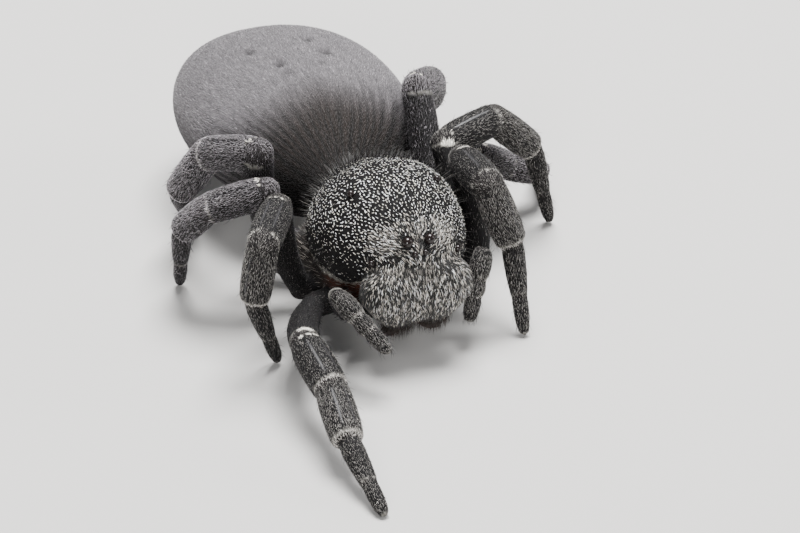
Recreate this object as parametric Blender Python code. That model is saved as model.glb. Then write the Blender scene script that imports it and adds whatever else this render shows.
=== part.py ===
"""A ladybird spider: a female at life size, standing still with its front right leg reached forward.

Metres, +Z up. The floor is Z = 0, the head faces -Y and the spider's own left side is +X.
"""
import math

import bmesh
import bpy
from mathutils import Matrix, Vector

MM = 0.001

# Clearances between a part of the body and what it grows from
JOINT_GAP = 0.3 * MM
EYE_GAP = 0.05 * MM

# Carapace: the high dome of the head, lower over the chest behind it
CARAPACE_CENTRE = Vector((0.0, -3.6, 3.0)) * MM
CARAPACE_HALF_WIDTH = 2.42 * MM
CARAPACE_FRONT = 3.1 * MM
CARAPACE_REAR = 2.8 * MM
CARAPACE_UP = 2.45 * MM
CARAPACE_DOWN = 1.5 * MM
CARAPACE_SQUARENESS = 2.08
CARAPACE_MARGIN_Z = 2.27 * MM
CHEST_NARROWING = 0.16
CHEST_LOWERING = 0.22

# The slanted face under the brow where the jaws begin, seen from the side
JAW_FACE_POINT = Vector((0.0, -5.9, 2.9)) * MM
JAW_FACE_TILT = math.radians(36)

# Sternum, the keel between the leg roots
STERNUM_CENTRE = Vector((0.0, -2.95, 1.45)) * MM
STERNUM_HALF_WIDTH = 0.85 * MM
STERNUM_HALF_LENGTH = 2.35 * MM
STERNUM_UP = 0.55 * MM
STERNUM_DOWN = 0.5 * MM
STERNUM_SQUARENESS = 3.2

# Abdomen, with the short stalk that joins it to the chest
ABDOMEN_CENTRE = Vector((0.0, 4.2, 3.2)) * MM
ABDOMEN_HALF_WIDTH = 3.7 * MM
ABDOMEN_FRONT = 4.4 * MM
ABDOMEN_REAR = 4.7 * MM
ABDOMEN_UP = 2.05 * MM
ABDOMEN_DOWN = 2.1 * MM
ABDOMEN_SQUARENESS = 2.25
STALK_LENGTH = 0.45 * MM
STALK_ANGLE = math.radians(12)
STALK_DROP = 0.9 * MM

# Spinnerets below the tail end: a low pad that carries four short fingers
SPINNERET_SLOPE = math.radians(24)
SPINNERET_PAD = Vector((0.55, 0.42, 0.3)) * MM
SPINNERET_LENGTH = 0.42 * MM
SPINNERET_TAPER = 0.25
SPINNERET_SPREAD = 0.1 * MM
SPINNERET_PARTING = 0.07 * MM
SPINNERET_ROUNDING = 0.06 * MM

# Jaws: a stout upright pair, each with a fang folded under it
JAW_CENTRE = Vector((0.8, -6.26, 2.3)) * MM
JAW_HALF_WIDTH = 1.08 * MM
JAW_FRONT = 0.8 * MM
JAW_REAR = 0.65 * MM
JAW_UP = 1.15 * MM
JAW_DOWN = 1.2 * MM
JAW_SQUARENESS = 2.45
JAW_TAPER = 0.35
JAW_MIDLINE_GAP = 0.24 * MM
FANG_ROOT = Vector((0.9, -5.95, 0.86)) * MM
FANG_BEND = Vector((0.62, -5.88, 0.77)) * MM
FANG_TIP = Vector((0.3, -5.7, 0.86)) * MM
FANG_RADII = (0.17 * MM, 0.1 * MM, 0.04 * MM)

# Eyes: name, place across and above the carapace centre, radius. Each pair is mirrored.
EYES = (
    ("eye_rear_middle", 0.36 * MM, 1.12 * MM, 0.18 * MM),
    ("eye_front_middle", 0.17 * MM, 0.78 * MM, 0.10 * MM),
    ("eye_front_side", 1.42 * MM, 0.45 * MM, 0.11 * MM),
    ("eye_rear_side", 1.42 * MM, 1.95 * MM, 0.12 * MM),
)
EYE_HEIGHT = 0.8

# Legs: the leg roots sit in a row along each side of the sternum
LEG_ROOT_X = STERNUM_HALF_WIDTH + JOINT_GAP
LEG_ROOT_Z = 1.5 * MM
LEG_ROOT_Y = (-4.4 * MM, -3.35 * MM, -2.3 * MM, -1.3 * MM)
HIP_LENGTH = 1.6 * MM
FEMUR_LENGTHS = (3.5 * MM, 3.5 * MM, 3.1 * MM, 4.0 * MM)
PATELLA_LENGTHS = (2.2 * MM, 2.1 * MM, 1.9 * MM, 2.5 * MM)
TIBIA_LENGTHS = (2.0 * MM, 1.9 * MM, 1.6 * MM, 2.4 * MM)
FOOT_LENGTHS = (2.8 * MM, 2.9 * MM, 2.7 * MM, 3.0 * MM)
LEG_THICKNESS = (1.0, 0.94, 0.92, 1.0)

# Half thickness along each length, from its inner to its outer end
FEMUR_BOW = 0.2 * MM
HIP_RADII = (0.42 * MM, 0.47 * MM, 0.44 * MM)
FEMUR_RADII = (0.40 * MM, 0.47 * MM, 0.52 * MM, 0.50 * MM)
PATELLA_RADII = (0.50 * MM, 0.60 * MM, 0.59 * MM, 0.54 * MM)
TIBIA_RADII = (0.54 * MM, 0.57 * MM, 0.55 * MM, 0.48 * MM)
FOOT_RADII = (0.34 * MM, 0.38 * MM, 0.36 * MM, 0.30 * MM, 0.27 * MM, 0.25 * MM, 0.20 * MM)
SOLE_PRESS = 0.04 * MM

# Stance, in degrees. A turn is forward from straight out to the side and a rise is above level.
# Each leg: hip turn, then turn and rise of femur, patella and tibia, then the turn of the foot.
STANCE = {
    "leg_right_1": (10, (65, 10), (90, -9), (84, -19), 92),
    "leg_right_2": (8, (30, 71), (57, -4), (0, -82), -147),
    "leg_right_3": (-12, (33, 73), (-24, -21), (-62, -47), -106),
    "leg_right_4": (-38, (50, 69), (-68, -22), (-70, -54), -120),
    "leg_left_1": (1, (-80, 53), (92, 6), (44, -65), 90),
    "leg_left_2": (-9, (-80, 48), (-20, 4), (-1, -43), -8),
    "leg_left_3": (-18, (-44, 26), (-36, -32), (-10, -22), -69),
    "leg_left_4": (-27, (-77, 60), (-56, -22), (-70, -40), -74),
}

# Palps, the short feelers beside the jaws: root, hip, knee and tip
PALP_ROOT = Vector((1.15, -5.45, 1.3)) * MM
PALP_HIP = Vector((2.15, -5.6, 1.6)) * MM
PALP_KNEES = {"right": Vector((2.7, -6.5, 2.85)) * MM, "left": Vector((2.55, -5.5, 2.9)) * MM}
PALP_TIPS = {"right": Vector((1.65, -8.1, 1.55)) * MM, "left": Vector((1.8, -6.25, 0.95)) * MM}
PALP_UPPER_RADII = (0.24 * MM, 0.29 * MM, 0.33 * MM)
PALP_LOWER_RADII = (0.35 * MM, 0.40 * MM, 0.36 * MM, 0.34 * MM, 0.28 * MM, 0.18 * MM)

# Roundness of the faceted solids
LIMB_SIDES = 12
FANG_SIDES = 10
EYE_AROUND = 14
EYE_ALONG = 10
BODY_AROUND = 36
BODY_ALONG = 22
SMALL_AROUND = 20
SMALL_ALONG = 12
END_STEPS = (30, 60)
SHARP_ANGLE = math.radians(50)
CUT_TOLERANCE = 1e-8


def material(name, colour, roughness):
    """Returns a named surface of the spider, made on first use."""
    found = bpy.data.materials.get(name)
    if found:
        return found
    made = bpy.data.materials.new(name)
    made.use_nodes = True
    shader = made.node_tree.nodes["Principled BSDF"]
    shader.inputs["Base Color"].default_value = (*colour, 1.0)
    shader.inputs["Roughness"].default_value = roughness
    shader.inputs["Metallic"].default_value = 0.0
    return made


def velvet():
    return material("black_velvet", (0.030, 0.028, 0.030), 0.85)


def finish(bm, name, surface):
    """Turns a closed bmesh into a named object of the spider."""
    bmesh.ops.recalc_face_normals(bm, faces=bm.faces)
    bmesh.ops.triangulate(bm, faces=[face for face in bm.faces if len(face.verts) > 4])
    mesh = bpy.data.meshes.new(name)
    bm.to_mesh(mesh)
    bm.free()
    mesh.materials.append(surface)
    mesh.shade_smooth()
    mesh.set_sharp_from_angle(angle=SHARP_ANGLE)
    made = bpy.data.objects.new(name, mesh)
    spider.objects.link(made)
    return made


def cut(bm, point, normal):
    """Cuts away what lies beyond a plane and closes the flat face that is left."""
    geometry = bm.verts[:] + bm.edges[:] + bm.faces[:]
    made = bmesh.ops.bisect_plane(bm, geom=geometry, dist=CUT_TOLERANCE, plane_co=point,
                                  plane_no=normal, clear_outer=True)
    rim = [item for item in made["geom_cut"] if isinstance(item, bmesh.types.BMEdge)]
    bmesh.ops.edgeloop_fill(bm, edges=rim)


def heading(side, turn, rise):
    """A unit direction from degrees forward of straight out, and degrees above level."""
    turn, rise = math.radians(turn), math.radians(rise)
    level = math.cos(rise)
    return Vector((side * math.cos(turn) * level, -math.sin(turn) * level, math.sin(rise)))


def round_form(half_width, front, rear, up, down, squareness, around=BODY_AROUND, along=BODY_ALONG):
    """A rounded body about the origin with its poles at the front and rear ends."""
    bm = bmesh.new()
    bmesh.ops.create_uvsphere(bm, u_segments=around, v_segments=along, radius=1.0,
                              matrix=Matrix.Rotation(math.radians(90), 4, "X"))
    for vert in bm.verts:
        x, y, z = vert.co
        length = front if y < 0 else rear
        height = up if z > 0 else down
        spread = (abs(x / half_width) ** squareness + abs(y / length) ** squareness
                  + abs(z / height) ** squareness)
        vert.co *= spread ** (-1.0 / squareness)
    return bm


def move(bm, offset):
    bmesh.ops.translate(bm, verts=bm.verts, vec=offset)


def jaw_face_normal():
    return Vector((0.0, -math.sin(JAW_FACE_TILT), -math.cos(JAW_FACE_TILT)))


def carapace():
    bm = round_form(CARAPACE_HALF_WIDTH, CARAPACE_FRONT, CARAPACE_REAR, CARAPACE_UP,
                    CARAPACE_DOWN, CARAPACE_SQUARENESS)
    for vert in bm.verts:
        back = max(vert.co.y, 0.0) / CARAPACE_REAR
        vert.co.x *= 1.0 - CHEST_NARROWING * back ** 2
        if vert.co.z > 0:
            vert.co.z *= 1.0 - CHEST_LOWERING * back
    move(bm, CARAPACE_CENTRE)
    cut(bm, Vector((0.0, 0.0, CARAPACE_MARGIN_Z)), Vector((0.0, 0.0, -1.0)))
    cut(bm, JAW_FACE_POINT, jaw_face_normal())
    finish(bm, "carapace", material("carapace_black", (0.022, 0.021, 0.022), 0.55))


def sternum():
    bm = round_form(STERNUM_HALF_WIDTH, STERNUM_HALF_LENGTH, STERNUM_HALF_LENGTH, STERNUM_UP,
                    STERNUM_DOWN, STERNUM_SQUARENESS, SMALL_AROUND, SMALL_ALONG)
    move(bm, STERNUM_CENTRE)
    finish(bm, "sternum", velvet())


def abdomen():
    bm = round_form(ABDOMEN_HALF_WIDTH, ABDOMEN_FRONT, ABDOMEN_REAR, ABDOMEN_UP, ABDOMEN_DOWN,
                    ABDOMEN_SQUARENESS)
    forward = Vector((0.0, -1.0, 0.0))
    for vert in bm.verts:
        off_axis = vert.co.angle(forward)
        front_share = max(-vert.co.y / ABDOMEN_FRONT, 0.0)
        vert.co.z -= STALK_DROP * front_share ** 3
        vert.co.y -= STALK_LENGTH * math.exp(-(off_axis / STALK_ANGLE) ** 4)
    move(bm, ABDOMEN_CENTRE)
    finish(bm, "abdomen", material("abdomen_velvet", (0.075, 0.070, 0.075), 0.9))


def abdomen_underside(slope):
    """The point and outward normal of the abdomen's tail end, below its middle line."""
    power = ABDOMEN_SQUARENESS
    spread = ((math.cos(slope) / ABDOMEN_REAR) ** power
              + (math.sin(slope) / ABDOMEN_DOWN) ** power) ** (-1.0 / power)
    along, below = spread * math.cos(slope), spread * math.sin(slope)
    normal = Vector((0.0, (along / ABDOMEN_REAR) ** (power - 1) / ABDOMEN_REAR,
                     -(below / ABDOMEN_DOWN) ** (power - 1) / ABDOMEN_DOWN)).normalized()
    return ABDOMEN_CENTRE + Vector((0.0, along, -below)), normal


def spinnerets():
    bm = bmesh.new()
    bmesh.ops.create_cube(bm, size=2.0, matrix=Matrix.Translation((0.0, 0.0, 1.0)))
    bmesh.ops.subdivide_edges(bm, edges=bm.edges[:], cuts=1, use_grid_fill=True)
    for vert in bm.verts:
        vert.co = Vector(vert.co[axis] * SPINNERET_PAD[axis] for axis in range(3))
        vert.co.z /= 2.0
    bm.normal_update()
    tops = [face for face in bm.faces if face.normal.z > 0.9]
    bmesh.ops.inset_individual(bm, faces=tops, thickness=SPINNERET_PARTING)
    for face in tops:
        centre = face.calc_center_median()
        for vert in face.verts:
            vert.co += (centre - vert.co) * SPINNERET_TAPER
            vert.co += Vector((math.copysign(SPINNERET_SPREAD, centre.x), 0.0, SPINNERET_LENGTH))
    bmesh.ops.bevel(bm, geom=bm.edges[:], offset=SPINNERET_ROUNDING, segments=1, affect="EDGES")
    point, normal = abdomen_underside(SPINNERET_SLOPE)
    turn = Vector((0.0, 0.0, 1.0)).rotation_difference(normal).to_matrix().to_4x4()
    place = Matrix.Translation(point + normal * JOINT_GAP) @ turn
    bmesh.ops.transform(bm, matrix=place, verts=bm.verts)
    finish(bm, "spinnerets", velvet())


def mirrored(point, side):
    return Vector((point.x * side, point.y, point.z))


def bar(points, radii, sides=LIMB_SIDES):
    """A round bar along a path, with a rounded end at each end."""
    first, last = (points[1] - points[0]).normalized(), (points[-1] - points[-2]).normalized()
    stations = []
    for step in END_STEPS[::-1]:
        lift = math.radians(step)
        stations.append((points[0] - first * radii[0] * math.sin(lift), radii[0] * math.cos(lift)))
    stations += list(zip(points, radii))
    for step in END_STEPS:
        lift = math.radians(step)
        stations.append((points[-1] + last * radii[-1] * math.sin(lift), radii[-1] * math.cos(lift)))
    axis = (points[-1] - points[0]).normalized()
    across = axis.orthogonal().normalized()
    bm = bmesh.new()
    rings = []
    for index, (centre, radius) in enumerate(stations):
        before = stations[max(index - 1, 0)][0]
        after = stations[min(index + 1, len(stations) - 1)][0]
        along = (after - before).normalized()
        out = (across - along * across.dot(along)).normalized()
        spots = [centre + Matrix.Rotation(math.tau * step / sides, 3, along) @ out * radius
                 for step in range(sides)]
        ring = [bm.verts.new(spot) for spot in spots]
        rings.append(ring)
    for near, far in zip(rings, rings[1:]):
        for step in range(sides):
            bm.faces.new((near[step - 1], near[step], far[step], far[step - 1]))
    bm.faces.new(rings[0][::-1])
    bm.faces.new(rings[-1])
    return bm


def bowed_bar(start, end, radii, bow=Vector()):
    count = len(radii) - 1
    shares = [step / count for step in range(count + 1)]
    return bar([start.lerp(end, share) + bow * math.sin(math.pi * share) for share in shares], radii)


def joint_plane(point, before, after):
    """The plane in a joint that leans halfway between the two lengths that meet there."""
    return point, (before + after).normalized()


def open_joint(bm, plane, keep_before):
    """Cuts one length back from its joint plane by half of the gap."""
    point, normal = plane
    if keep_before:
        cut(bm, point - normal * JOINT_GAP / 2, normal)
    else:
        cut(bm, point + normal * JOINT_GAP / 2, -normal)


def leg(name, stance):
    side = 1.0 if "_left_" in name else -1.0
    number = int(name[-1]) - 1
    stout = LEG_THICKNESS[number]
    hip_turn, femur_pose, patella_pose, tibia_pose, foot_turn = stance
    spans = [
        ("coxa", HIP_LENGTH, heading(side, hip_turn, 0), HIP_RADII),
        ("femur", FEMUR_LENGTHS[number], heading(side, *femur_pose), FEMUR_RADII),
        ("patella", PATELLA_LENGTHS[number], heading(side, *patella_pose), PATELLA_RADII),
        ("tibia", TIBIA_LENGTHS[number], heading(side, *tibia_pose), TIBIA_RADII),
    ]
    points = [Vector((side * LEG_ROOT_X, LEG_ROOT_Y[number], LEG_ROOT_Z))]
    for part, length, direction, radii in spans:
        points.append(points[-1] + direction * length)
    # The foot reaches down until its sole rests on the floor
    sole = FOOT_RADII[-1] * stout - SOLE_PRESS
    drop = math.degrees(math.asin((points[-1].z - sole) / FOOT_LENGTHS[number]))
    spans.append(("foot", FOOT_LENGTHS[number], heading(side, foot_turn, -drop), FOOT_RADII))
    points.append(points[-1] + spans[-1][2] * FOOT_LENGTHS[number])
    directions = [span[2] for span in spans]
    for index, (part, length, direction, radii) in enumerate(spans):
        radii = [radius * stout for radius in radii]
        bow = Vector((side * FEMUR_BOW, 0.0, 0.0)) if part == "femur" else Vector()
        bm = bowed_bar(points[index], points[index + 1], radii, bow)
        if index == 0:
            cut(bm, points[0], Vector((-side, 0.0, 0.0)))
        else:
            open_joint(bm, joint_plane(points[index], directions[index - 1], direction), False)
        if index < len(spans) - 1:
            open_joint(bm, joint_plane(points[index + 1], direction, directions[index + 1]), True)
        else:
            cut(bm, Vector((0.0, 0.0, 0.0)), Vector((0.0, 0.0, -1.0)))
        finish(bm, f"{name}_{part}", velvet())


def palp(side_name, side):
    places = (PALP_ROOT, PALP_HIP, PALP_KNEES[side_name], PALP_TIPS[side_name])
    root, hip, knee, tip = (mirrored(place, side) for place in places)
    plane = joint_plane(knee, (knee - hip).normalized(), (tip - knee).normalized())
    upper = bar([root, hip, knee], PALP_UPPER_RADII)
    cut(upper, root, Vector((-side, 0.0, 0.0)))
    open_joint(upper, plane, True)
    finish(upper, f"palp_{side_name}_upper", velvet())
    lower = bowed_bar(knee, tip, PALP_LOWER_RADII)
    open_joint(lower, plane, False)
    finish(lower, f"palp_{side_name}_lower", velvet())


def jaw(side_name, side):
    bm = round_form(JAW_HALF_WIDTH, JAW_FRONT, JAW_REAR, JAW_UP, JAW_DOWN, JAW_SQUARENESS,
                    SMALL_AROUND, SMALL_ALONG)
    inner = side * (JAW_MIDLINE_GAP - JAW_CENTRE.x)
    for vert in bm.verts:
        narrow = 1.0 + JAW_TAPER * min(vert.co.z, 0.0) / JAW_DOWN
        vert.co.x = inner + (vert.co.x - inner) * narrow
        vert.co.y *= narrow
    move(bm, mirrored(JAW_CENTRE, side))
    normal = jaw_face_normal()
    cut(bm, JAW_FACE_POINT + normal * JOINT_GAP, -normal)
    cut(bm, Vector((side * JAW_MIDLINE_GAP / 2, 0.0, 0.0)), Vector((-side, 0.0, 0.0)))
    finish(bm, f"chelicera_{side_name}", material("jaw_black", (0.035, 0.032, 0.032), 0.6))
    path = [mirrored(place, side) for place in (FANG_ROOT, FANG_BEND, FANG_TIP)]
    fang = bar(path, FANG_RADII, FANG_SIDES)
    finish(fang, f"fang_{side_name}", material("fang_brown", (0.05, 0.015, 0.008), 0.25))


def carapace_skin(across, above):
    """The point and outward normal of the front of the dome, above and beside its centre."""
    power = CARAPACE_SQUARENESS
    shares = (abs(across / CARAPACE_HALF_WIDTH), abs(above / CARAPACE_UP))
    depth = (1.0 - shares[0] ** power - shares[1] ** power) ** (1.0 / power)
    point = CARAPACE_CENTRE + Vector((across, -depth * CARAPACE_FRONT, above))
    normal = Vector((math.copysign(shares[0] ** (power - 1) / CARAPACE_HALF_WIDTH, across),
                     -depth ** (power - 1) / CARAPACE_FRONT,
                     shares[1] ** (power - 1) / CARAPACE_UP))
    return point, normal.normalized()


def eye(name, across, above, radius):
    """A low dome whose flat seat faces the skin under it."""
    point, normal = carapace_skin(across, above)
    bm = bmesh.new()
    bmesh.ops.create_uvsphere(bm, u_segments=EYE_AROUND, v_segments=EYE_ALONG, radius=radius)
    for vert in bm.verts:
        vert.co.z = max(vert.co.z, 0.0) * EYE_HEIGHT
    turn = Vector((0.0, 0.0, 1.0)).rotation_difference(normal).to_matrix().to_4x4()
    place = Matrix.Translation(point + normal * EYE_GAP) @ turn
    bmesh.ops.transform(bm, matrix=place, verts=bm.verts)
    finish(bm, name, material("eye_gloss", (0.008, 0.007, 0.008), 0.08))


def stand_on_origin():
    """Moves the whole spider so that the middle of its footprint is over the origin."""
    corners = [obj.matrix_world @ Vector(corner) for obj in spider.objects for corner in obj.bound_box]
    middle = [(min(c[axis] for c in corners) + max(c[axis] for c in corners)) / 2 for axis in (0, 1)]
    stand = bpy.data.objects.new("placing", None)
    spider.objects.link(stand)
    for obj in spider.objects:
        if obj is not stand:
            obj.parent = stand
    stand.location = (-middle[0], -middle[1], 0.0)


for old in list(bpy.data.objects):
    bpy.data.objects.remove(old)
spider = bpy.data.collections.new("ladybird_spider")
bpy.context.scene.collection.children.link(spider)
carapace()
sternum()
abdomen()
spinnerets()
for side_name, side in (("left", 1.0), ("right", -1.0)):
    jaw(side_name, side)
    palp(side_name, side)
    for eye_name, across, above, radius in EYES:
        eye(f"{eye_name}_{side_name}", side * across, above, radius)
for leg_name, stance in STANCE.items():
    leg(leg_name, stance)
stand_on_origin()
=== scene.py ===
import math

import bpy
import numpy as np
from mathutils import Matrix, Vector
from mathutils.kdtree import KDTree


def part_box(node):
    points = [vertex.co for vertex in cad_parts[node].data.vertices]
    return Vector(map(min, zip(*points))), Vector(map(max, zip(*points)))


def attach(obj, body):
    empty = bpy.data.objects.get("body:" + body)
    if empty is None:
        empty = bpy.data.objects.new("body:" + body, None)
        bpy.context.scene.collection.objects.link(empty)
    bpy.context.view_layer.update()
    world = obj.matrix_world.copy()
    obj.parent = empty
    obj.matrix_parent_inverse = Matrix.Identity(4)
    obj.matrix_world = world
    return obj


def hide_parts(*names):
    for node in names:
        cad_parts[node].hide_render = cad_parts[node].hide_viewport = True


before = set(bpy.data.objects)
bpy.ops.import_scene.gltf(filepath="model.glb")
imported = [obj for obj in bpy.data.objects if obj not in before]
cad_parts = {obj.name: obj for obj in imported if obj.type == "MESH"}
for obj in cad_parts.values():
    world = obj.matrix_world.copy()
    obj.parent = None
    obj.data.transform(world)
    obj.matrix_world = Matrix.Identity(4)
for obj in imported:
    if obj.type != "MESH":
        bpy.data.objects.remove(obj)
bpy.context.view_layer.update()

# Camera. The spider is worked in millimetres of its own, and the frame's sternum says where it
# stands. The view is from in front, a little to its right and 30 degrees up.
MM = 0.001
CHEST_MIDDLE = np.array((0.0, -2.95, 0.0))
VIEW_MIDDLE = np.array((-0.36, -5.81, 3.0))
VIEW_TURN, VIEW_RISE, VIEW_ROLL = math.radians(-22.5), math.radians(29.6), math.radians(1.3)
VIEW_DISTANCE = 0.150
FILM_WIDTH, LENS_LENGTH = 36.0, 221.76
chest_low, chest_high = (np.array(corner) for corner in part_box("sternum"))
stand_at = (chest_low + chest_high) / 2 / MM - CHEST_MIDDLE
stand_at[2] = 0.0
look_at = (VIEW_MIDDLE + stand_at) * MM
view_back = Vector((math.sin(VIEW_TURN) * math.cos(VIEW_RISE),
                    -math.cos(VIEW_TURN) * math.cos(VIEW_RISE), math.sin(VIEW_RISE)))
view_right = Vector((math.cos(VIEW_TURN), math.sin(VIEW_TURN), 0.0))
view_up = view_back.cross(view_right)
rolled_right = view_right * math.cos(VIEW_ROLL) + view_up * math.sin(VIEW_ROLL)
rolled_up = view_up * math.cos(VIEW_ROLL) - view_right * math.sin(VIEW_ROLL)
bpy.ops.object.camera_add()
camera = bpy.context.object
camera.name = "camera"
turn = Matrix((rolled_right, rolled_up, view_back)).transposed().to_4x4()
camera.matrix_world = Matrix.Translation(Vector(look_at) + view_back * VIEW_DISTANCE) @ turn
camera.data.sensor_width = FILM_WIDTH
camera.data.lens = LENS_LENGTH
camera.data.clip_start = 0.001
camera.data.clip_end = 20.0
bpy.context.scene.camera = camera

# Floor and light. A plain pale table top, a strong soft light high over the back, where the sky
# silvers the velvet, two weaker ones from the front and side, and a dim pale room all round.


def new_finish(name, sockets):
    """A material with its shader's own sockets set, and what it takes to add nodes to it."""
    made = bpy.data.materials.new(name)
    made.use_nodes = True
    shader = made.node_tree.nodes["Principled BSDF"]
    for socket, value in sockets.items():
        shader.inputs[socket].default_value = value
    return made, made.node_tree.nodes, made.node_tree.links, shader


bpy.ops.mesh.primitive_plane_add(size=3.0)
floor = bpy.context.object
floor.name = "floor"
floor_look = {"Base Color": (0.50, 0.49, 0.475, 1.0), "Roughness": 0.85}
floor.data.materials.append(new_finish("pale_floor", floor_look)[0])
for lamp_name, spot, size, watts in (("sky_light", (0.03, 0.05, 0.21), 0.12, 1.9),
                                     ("front_light", (-0.11, -0.20, 0.09), 0.06, 0.50),
                                     ("side_light", (0.20, -0.04, 0.10), 0.08, 0.16)):
    bpy.ops.object.light_add(type="AREA", location=spot)
    lamp = bpy.context.object
    lamp.name = lamp_name
    lamp.data.size = size
    lamp.data.energy = watts
    lamp.rotation_euler = Vector(spot).to_track_quat("Z", "Y").to_euler()
room = bpy.data.worlds.new("pale_room")
bpy.context.scene.world = room
room.use_nodes = True
sky = room.node_tree.nodes["Background"].inputs
sky["Color"].default_value = (0.93, 0.95, 1.0, 1.0)
sky["Strength"].default_value = 0.28
bpy.ops.object.select_all(action="DESELECT")

# Body forms. Each plate and each length of limb starts as a ball, drawn out to its own shape just
# under the coat. Every form remembers its own length and back, which the coat follows later.
COAT_DEPTH = 0.045
forms = []
form_objects = []


def unit(vector):
    return np.asarray(vector, float) / np.linalg.norm(vector)


def new_ball(name, around, along):
    bpy.ops.mesh.primitive_uv_sphere_add(segments=around, ring_count=along, radius=1.0)
    made = bpy.context.object
    made.name = name
    return made


def ball_points(made):
    points = np.empty(len(made.data.vertices) * 3)
    made.data.vertices.foreach_get("co", points)
    return points.reshape(-1, 3)


def ball_rings(points, rings):
    """Which points of a ball are off its poles, and each one's share of the way along it."""
    ring = np.rint(np.arccos(np.clip(points[:, 2], -1, 1)) / math.pi * rings)
    return (ring > 0) & (ring < rings), np.clip((ring - 1) / (rings - 2), 0, 1)


def keep_form(made, points, kind, name, start, axis, back, length):
    """Stores a form with the frame that its coat is measured in."""
    made.data.vertices.foreach_set("co", points.ravel())
    axis = unit(axis)
    back = unit(np.asarray(back) - axis * np.dot(back, axis))
    forms.append({"kind": kind, "name": name, "start": np.asarray(start, float), "axis": axis,
                  "back": back, "side": np.cross(axis, back), "length": length, "points": points})
    form_objects.append(made)


def round_form(name, half_width, front, rear, up, down, squareness, around=96, along=72):
    """A ball with a reach of its own in each direction, and squared off a little."""
    made = new_ball(name, around, along)
    x, z, y = ball_points(made).T
    y = -y
    reach = (np.abs(x / half_width) ** squareness + np.abs(y / np.where(y < 0, front, rear)) ** squareness
             + np.abs(z / np.where(z > 0, up, down)) ** squareness) ** (-1.0 / squareness)
    return made, np.stack((x, y, z), 1) * reach[:, None]


def limb_form(name, kind, start, end, stations, radii, back, around=28, along=30, bow=(0, 0, 0)):
    """A length of limb between two points, with its own thickness at each station."""
    made = new_ball(name, around, along)
    unit_points = ball_points(made)
    off_pole, share = ball_rings(unit_points, along)
    radius = np.interp(share, stations, radii) * off_pole
    start, end = np.asarray(start, float), np.asarray(end, float)
    axis = unit(end - start)
    back = unit(np.asarray(back) - axis * np.dot(back, axis))
    side = np.cross(axis, back)
    angle = np.arctan2(unit_points[:, 1], unit_points[:, 0])
    points = (start + (end - start) * share[:, None] + np.asarray(bow) * np.sin(math.pi * share)[:, None]
              + (np.cos(angle)[:, None] * side + np.sin(angle)[:, None] * back) * radius[:, None])
    keep_form(made, points, kind, name, start, axis, back, np.linalg.norm(end - start))


UP = (0.0, 0.0, 1.0)
DOWN = (0.0, 0.0, -1.0)
FORWARD = np.array((0.0, -1.0, 0.0))

# Dome: the high plate over the head and chest, cut away under the brow to make room for the jaws,
# with a shallow furrow on each side where the head ends and the chest begins.
DOME_CENTRE = np.array((0.0, -3.6, 3.0))
DOME_REACH = np.array((2.42, 3.1, 2.8, 2.45, 1.5))
DOME_BASE = 2.27 + COAT_DEPTH
DOME_SQUARE = 2.08
REAR_NARROWING, REAR_LOWERING = 0.16, 0.22
FURROW_WIDTH, FURROW_DEPTH = 0.22, 0.035
BROW_POINT = np.array((0.0, -5.9, 2.9))
BROW_TILT = math.radians(36)
BROW_NORMAL = np.array((0.0, -math.sin(BROW_TILT), -math.cos(BROW_TILT)))
dome_ball, dome = round_form("dome", *(DOME_REACH - COAT_DEPTH), DOME_SQUARE)
behind = np.clip(dome[:, 1], 0, None) / DOME_REACH[2]
dome[:, 0] *= 1.0 - REAR_NARROWING * behind ** 2
dome[:, 2] *= np.where(dome[:, 2] > 0, 1.0 - REAR_LOWERING * behind, 1.0)
furrow_at = 0.55 + 0.38 * np.abs(dome[:, 0])
furrow = np.exp(-((dome[:, 1] - furrow_at) / FURROW_WIDTH) ** 2)
furrow *= (dome[:, 2] > 0) * np.clip(dome[:, 1], 0, 1)
dome *= (1.0 - FURROW_DEPTH * furrow)[:, None]
dome += DOME_CENTRE
dome[:, 2] = np.maximum(dome[:, 2], DOME_BASE)
past_brow = np.clip((dome - BROW_POINT) @ BROW_NORMAL, 0, None)
dome -= past_brow[:, None] * BROW_NORMAL
keep_form(dome_ball, dome, "dome", "dome", DOME_CENTRE, -FORWARD, UP, 5.0)

# Keel: the plate under the chest, between the roots of the legs, with the soft flank that joins it
# to the dome. Both are low rounded slabs, and the abdomen's stalk comes out behind them.
KEEL_CENTRE = CHEST_MIDDLE + (0.0, 0.0, 1.45)
FLANK_CENTRE = np.array((0.0, -3.05, 1.95))
keel_ball, keel = round_form("keel", 0.80, 2.28, 2.28, 0.5, 0.45, 3.2, 48, 36)
keep_form(keel_ball, keel + KEEL_CENTRE, "chest", "keel", (0, -5.2, 1.45), -FORWARD, DOWN, 4.6)
flank_ball, flank = round_form("flank", 2.3, 2.5, 2.45, 0.80, 0.82, 2.8, 64, 40)
keep_form(flank_ball, flank + FLANK_CENTRE, "flank", "flank", (0, -5.5, 1.95), -FORWARD, UP, 4.8)

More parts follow.
